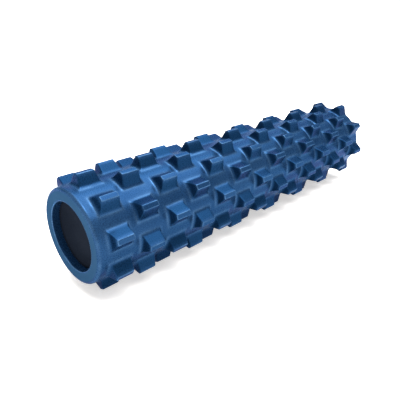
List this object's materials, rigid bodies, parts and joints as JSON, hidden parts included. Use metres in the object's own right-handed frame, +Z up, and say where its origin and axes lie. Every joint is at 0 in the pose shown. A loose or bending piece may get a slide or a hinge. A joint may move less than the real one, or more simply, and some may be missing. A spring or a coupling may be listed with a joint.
{
  "type": "textured foam roller",
  "caption": "Cylindrical massage roller: a foam sleeve covered in staggered blocky knobs, over a firm round foam core that is recessed at both ends.",
  "frame": {"origin": "centre of the bounding box's underside: on the floor plane, midway along the roller, below its axis", "axes": "+X along the roller's axis from the near end face to the far one, +Y across it, +Z up, with the crests of every second ring standing on z = 0"},
  "size_m": [0.559, 0.1366, 0.138],
  "materials": {
    "sleeve_foam": "satin",
    "core_foam": "matte"
  },
  "bodies": {
    "root": {"textured_sleeve": "sleeve_foam", "foam_core": "core_foam"}
  },
  "joints": []
}
